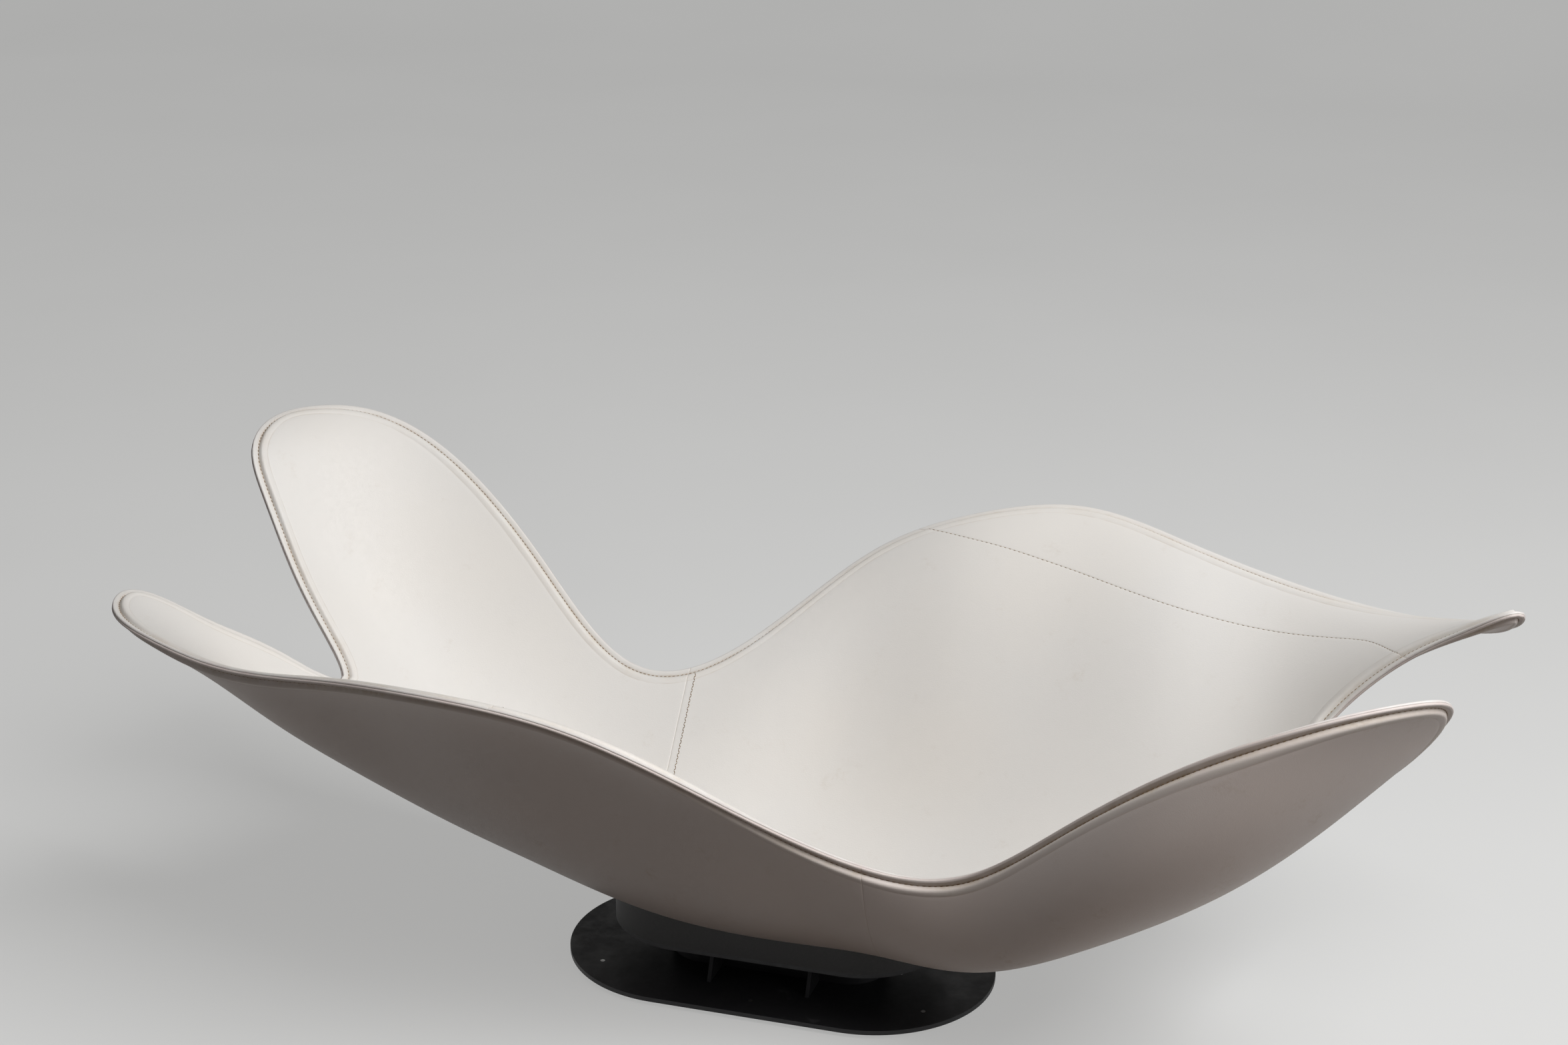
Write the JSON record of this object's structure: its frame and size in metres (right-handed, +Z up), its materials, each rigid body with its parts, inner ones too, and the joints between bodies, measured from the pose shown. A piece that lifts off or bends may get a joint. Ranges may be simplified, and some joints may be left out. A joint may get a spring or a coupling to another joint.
{
  "type": "spa relaxation lounger",
  "caption": "Free-form lounging shell with four upswept lobes, padded and covered in saddle-stitched leather on both faces, on a low recessed steel plinth.",
  "frame": {"origin": "on the floor, half way between the tips of the lobes and half way across", "axes": "+X along the length towards the long pointed lobe on the far side, +Y across to the far side, +Z up"},
  "size_m": [1.747, 0.872, 0.6094],
  "materials": {
    "inner_leather": "smooth cream white saddle leather",
    "outer_leather": "smooth cream white saddle leather",
    "foam": "cut upholstery foam",
    "laminate": "glass fibre laminate",
    "cradle_plastic": "black cast polyurethane",
    "base_paint": "matt black powder coat",
    "zinc_steel": "zinc plated",
    "glide_rubber": "black rubber"
  },
  "bodies": {
    "root": {"shell_core": "laminate", "foam_inner_head": "foam", "foam_inner_seat": "foam", "foam_outer_long": "foam", "foam_outer_short": "foam", "leather_inner_head": "inner_leather", "leather_inner_seat": "inner_leather", "leather_inner_wing": "inner_leather", "leather_outer_long": "outer_leather", "leather_outer_short": "outer_leather", "threaded_inserts": "zinc_steel", "shell_cradle": "cradle_plastic", "shell_bolts": "zinc_steel", "shell_washers": "zinc_steel", "base_top_plate": "base_paint", "base_column": "base_paint", "base_ribs": "base_paint", "base_floor_plate": "base_paint", "base_glides": "glide_rubber", "glide_screws": "zinc_steel"}
  },
  "joints": []
}
